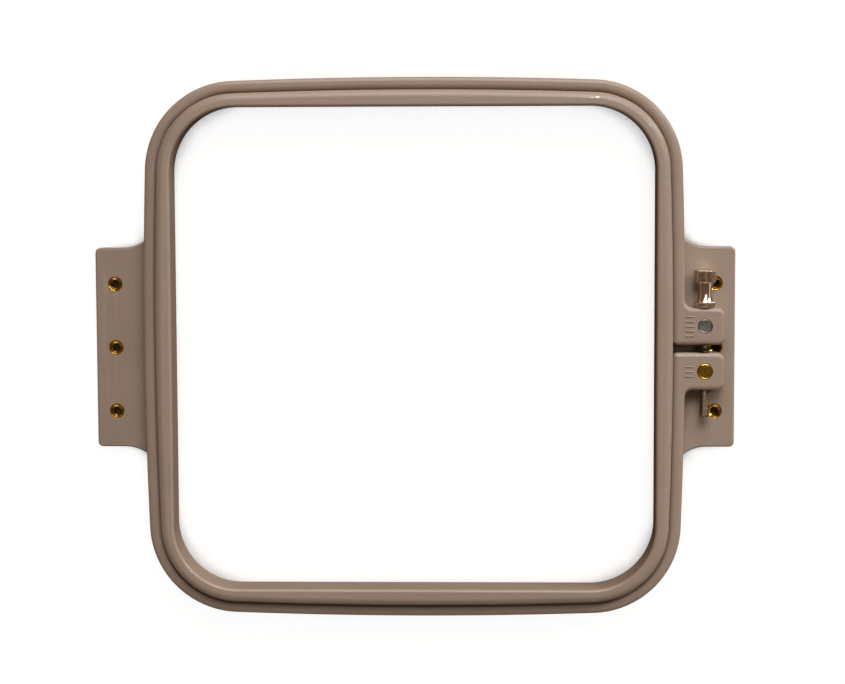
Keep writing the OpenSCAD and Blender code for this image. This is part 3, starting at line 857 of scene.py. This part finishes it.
def turned_metal(name, bright, tarnish, rough, centre=None, cover=(0.45, 0.75), seed=0.0,
                 marks=0.25):
    """A turned metal: fine rings round a centre, and tarnish in soft patches."""
    material, tree, where = new_material(name)
    patches = add_node(tree, "ShaderNodeTexNoise",
                       {"noise_dimensions": "4D", "W": seed, "Scale": per_mm(TARNISH_MM),
                        "Detail": 4.0, "Roughness": 0.6}, {"Vector": where})
    amount = add_node(tree, "ShaderNodeMapRange",
                      {"From Min": cover[0], "From Max": cover[1]},
                      {"Value": patches.outputs["Fac"]})
    colour = add_node(tree, "ShaderNodeMix",
                      {"data_type": "RGBA", 6: linear(bright), 7: linear(tarnish)},
                      {0: amount.outputs["Result"]})
    fine = add_node(tree, "ShaderNodeTexNoise", {"Scale": per_mm(TOOL_MM), "Detail": 3.0},
                    {"Vector": where})
    dull = add_node(tree, "ShaderNodeMapRange",
                    {"From Min": 0.3, "From Max": 0.7,
                     "To Min": rough - 0.06, "To Max": rough + 0.08},
                    {"Value": fine.outputs["Fac"]})
    if centre:
        shifted = add_node(tree, "ShaderNodeMapping", {"Location": [-c * MM for c in centre]},
                           {"Vector": where})
        where = shifted.outputs["Vector"]
    rings = add_node(tree, "ShaderNodeTexWave",
                     {"wave_type": "RINGS", "rings_direction": "Z",
                      "Scale": WAVE_UNIT * per_mm(RING_MM), "Distortion": 0.4},
                     {"Vector": where})
    relief = add_node(tree, "ShaderNodeBump", {"Strength": marks, "Distance": MARK_DEPTH},
                      {"Height": rings.outputs["Fac"]})
    shader = add_node(tree, "ShaderNodeBsdfPrincipled", {"Metallic": 1.0},
                      {"Base Color": colour.outputs[2], "Roughness": dull.outputs["Result"],
                       "Normal": relief.outputs["Normal"]})
    show(tree, shader)
    return material


dress(turned_metal("turned_brass_inserts", "#c79a3e", "#8a6224", 0.2, seed=2.0),
      *insert_pieces)
dress(turned_metal("turned_brass_nut", "#ae8a39", "#765a20", 0.22, (PIN_X, -PIN_Y, 0),
                   seed=3.0), barrel_nut)
dress(turned_metal("nickel_plated_screw", "#85725f", "#6b5946", 0.4, cover=(0.5, 0.8),
                   seed=4.0, marks=0.0), clamp_screw)
dress(turned_metal("nickel_plated_knob", "#d8c4ae", "#b9a38d", 0.18, cover=(0.5, 0.8),
                   seed=5.0, marks=0.1), thumb_knob)

# %% Mix the sheared steel and the black oxide
SKIN_DEPTH = 0.00004   # metres


def oxide_steel(name, light, dark, rough, grain):
    """Bare or blackened steel with a mottled skin."""
    material, tree, where = new_material(name)
    blotch = add_node(tree, "ShaderNodeTexNoise",
                      {"Scale": per_mm(grain), "Detail": 5.0, "Roughness": 0.7},
                      {"Vector": where})
    colour = add_node(tree, "ShaderNodeValToRGB", links={"Fac": blotch.outputs["Fac"]})
    low, high = colour.color_ramp.elements
    low.position, high.position = 0.35, 0.68
    low.color, high.color = linear(dark), linear(light)
    dull = add_node(tree, "ShaderNodeMapRange",
                    {"From Min": 0.3, "From Max": 0.7, "To Min": rough, "To Max": rough + 0.15},
                    {"Value": blotch.outputs["Fac"]})
    relief = add_node(tree, "ShaderNodeBump", {"Strength": 0.5, "Distance": SKIN_DEPTH},
                      {"Height": blotch.outputs["Fac"]})
    shader = add_node(tree, "ShaderNodeBsdfPrincipled", {"Metallic": 1.0},
                      {"Base Color": colour.outputs["Color"],
                       "Roughness": dull.outputs["Result"],
                       "Normal": relief.outputs["Normal"]})
    show(tree, shader)
    return material


dress(oxide_steel("sheared_steel_pin", "#7e7a75", "#524d49", 0.3, 1.1), swivel_pin)
dress(oxide_steel("black_oxide_clip", "#33302c", "#1a1816", 0.38, 0.8), retaining_clip)

# %% [markdown]
# ## Floor and surroundings
# The hoop lies on a plain pale floor. To the camera, to metal and to glass the floor is
# white, and it keeps the hoop's soft shadow from the lamps. Close round the hoop, under the
# ears and down the insert bores, its white glow is dimmed by ambient occlusion, which is
# painted shade. The light that it bounces back into the plastic is the warm brown of a
# table top, which is what tints the inner walls. Round it stands a white backdrop, and
# above it a dim ceiling that gives metal its dark tops.

# %% Lay the floor
FLOOR_HALF, FLOOR_Z = 3000, -0.02
NEAR_GLINT, SHADOW_REACH = 0.09, 0.02   # metres
FLOOR_WHITE = 0.965   # with the light that the shadow catcher adds, this comes to white
floor = solid("floor", [(-FLOOR_HALF, -FLOOR_HALF, FLOOR_Z), (FLOOR_HALF, -FLOOR_HALF, FLOOR_Z),
                        (FLOOR_HALF, FLOOR_HALF, FLOOR_Z), (-FLOOR_HALF, FLOOR_HALF, FLOOR_Z)],
              [(0, 1, 2, 3)])
pale_floor, tree, _ = new_material("pale_floor")
ray = add_node(tree, "ShaderNodeLightPath")
far_glint = add_node(tree, "ShaderNodeMath", {"operation": "GREATER_THAN", 1: NEAR_GLINT},
                     {0: ray.outputs["Ray Length"]})
glint = add_node(tree, "ShaderNodeMath", {"operation": "MULTIPLY"},
                 {0: ray.outputs["Is Glossy Ray"], 1: far_glint.outputs["Value"]})
seen = add_node(tree, "ShaderNodeMath", {"operation": "MAXIMUM"},
                {0: ray.outputs["Is Camera Ray"], 1: ray.outputs["Is Transmission Ray"]})
seen_or_glint = add_node(tree, "ShaderNodeMath", {"operation": "MAXIMUM"},
                         {0: seen.outputs["Value"], 1: glint.outputs["Value"]})
# Painted shade: the floor's white glow is dimmed by ambient occlusion close round the hoop, under
# the ears and down the insert bores.
shade = add_node(tree, "ShaderNodeAmbientOcclusion", {"Distance": SHADOW_REACH, "samples": 8})
glow_with_painted_shade = add_node(tree, "ShaderNodeMapRange",
                    {"From Min": 0.3, "From Max": 0.52, "To Min": 0.0, "To Max": FLOOR_WHITE},
                    {"Value": shade.outputs["AO"]})
glow = add_node(tree, "ShaderNodeEmission", {"Color": (1, 1, 1, 1)},
                {"Strength": glow_with_painted_shade.outputs["Result"]})
shadow_catcher = add_node(tree, "ShaderNodeBsdfDiffuse", {"Color": (0.12, 0.09, 0.06, 1)})
white_floor = add_node(tree, "ShaderNodeAddShader",
                       links={0: glow.outputs[0], 1: shadow_catcher.outputs[0]})
table_top = add_node(tree, "ShaderNodeBsdfDiffuse", {"Color": linear("#54381f")})
floor_mix = add_node(tree, "ShaderNodeMixShader",
                     links={0: seen_or_glint.outputs["Value"], 1: table_top.outputs[0],
                            2: white_floor.outputs[0]})
show(tree, floor_mix)
dress(pale_floor, floor)

# %% Stand the backdrop round it
WALL_LOW, WALL_HIGH = 0.12, 0.3   # the sine of the height at which the wall fades out
world = bpy.data.worlds.new("studio")
bpy.context.scene.world = world
world.use_nodes = True
tree = world.node_tree
tree.nodes.clear()
ray = add_node(tree, "ShaderNodeLightPath")
direction = add_node(tree, "ShaderNodeTexCoord").outputs["Generated"]
height = add_node(tree, "ShaderNodeSeparateXYZ", links={"Vector": direction}).outputs["Z"]
wall = add_node(tree, "ShaderNodeMapRange",
                {"From Min": WALL_LOW, "From Max": WALL_HIGH, "To Min": 1.0, "To Max": 0.0},
                {"Value": height})
backdrop = add_node(tree, "ShaderNodeMix",
                    {"data_type": "RGBA", 6: linear("#655546"), 7: (1, 1, 1, 1)},
                    {0: wall.outputs["Result"]})
dim = add_node(tree, "ShaderNodeBackground", {"Color": linear("#8a6f55"), "Strength": 0.5})
white = add_node(tree, "ShaderNodeBackground", {"Color": (1, 1, 1, 1)})
glossy = add_node(tree, "ShaderNodeBackground", links={"Color": backdrop.outputs[2]})
seen = add_node(tree, "ShaderNodeMath", {"operation": "MAXIMUM"},
                {0: ray.outputs["Is Camera Ray"], 1: ray.outputs["Is Transmission Ray"]})
reflected = add_node(tree, "ShaderNodeMixShader",
                     links={0: ray.outputs["Is Glossy Ray"], 1: dim.outputs[0],
                            2: glossy.outputs[0]})
whole = add_node(tree, "ShaderNodeMixShader",
                 links={0: seen.outputs["Value"], 1: reflected.outputs[0],
                        2: white.outputs[0]})
add_node(tree, "ShaderNodeOutputWorld", links={"Surface": whole.outputs[0]})
print("backdrop stands round the floor")

# %% [markdown]
# ## Lights
# A large soft lamp stands above and behind the hoop and gives the main light. A smaller
# soft lamp, low at the right and behind, sends the soft shadows to the lower left, and a
# weak one low in front keeps the near side readable. Two small tube lamps overhead are
# seen only in gloss: their reflections are the short white glints on the rounds.

# %% Hang the lamps
def lamp(name, place_mm, size_mm, watts, height_mm=None):
    """An area lamp that faces the middle of the hoop: round, or a tube if it has a height."""
    light = bpy.data.lights.new(name, "AREA")
    light.shape = "RECTANGLE" if height_mm else "DISK"
    light.size, light.size_y = size_mm * MM, (height_mm or size_mm) * MM
    light.energy = watts
    holder = bpy.data.objects.new(name, light)
    SCENE.objects.link(holder)
    holder.location = Vector(place_mm) * MM
    holder.rotation_euler = holder.location.to_track_quat("Z", "Y").to_euler()
    print(name, "at", round(holder.location.length, 2), "m")
    return holder


lamp("soft_main_lamp", (430, 3035, 2571), 3000, 165.0)
lamp("soft_side_lamp", (2443, 1526, 826), 1000, 52.0)
lamp("soft_front_lamp", (-250, -2600, 640), 1500, 9.0)
tube_behind = lamp("tube_behind", (250, 1330, 2220), 80, 28.0, 300)
tube_right = lamp("tube_right", (840, 640, 2042), 120, 15.0, 200)
tube_behind.visible_diffuse = tube_right.visible_diffuse = False

# %% [markdown]
# ## Camera
# The photograph was taken from almost straight above, a little behind the middle of the
# hoop, from about a metre away. The camera's place and tilt were worked out from the
# sizes of the rings, ears and inserts in it.

# %% Set the camera
CAMERA_MM, CAMERA_DEG = (36.1, 90.31, 945.68), (-5.354, 1.975, -0.228)
LENS_MM, SENSOR_MM = 101.5, 36
camera_data = bpy.data.cameras.new("camera")
camera_data.sensor_width, camera_data.lens = SENSOR_MM, LENS_MM
camera = bpy.data.objects.new("camera", camera_data)
camera.location = Vector(CAMERA_MM) * MM
camera.rotation_euler = Euler([math.radians(d) for d in CAMERA_DEG], "XYZ")
SCENE.objects.link(camera)
bpy.context.scene.camera = camera
bpy.context.scene.view_settings.view_transform = "Standard"
print("camera", round(camera.location.length, 3), "m from the middle of the opening")
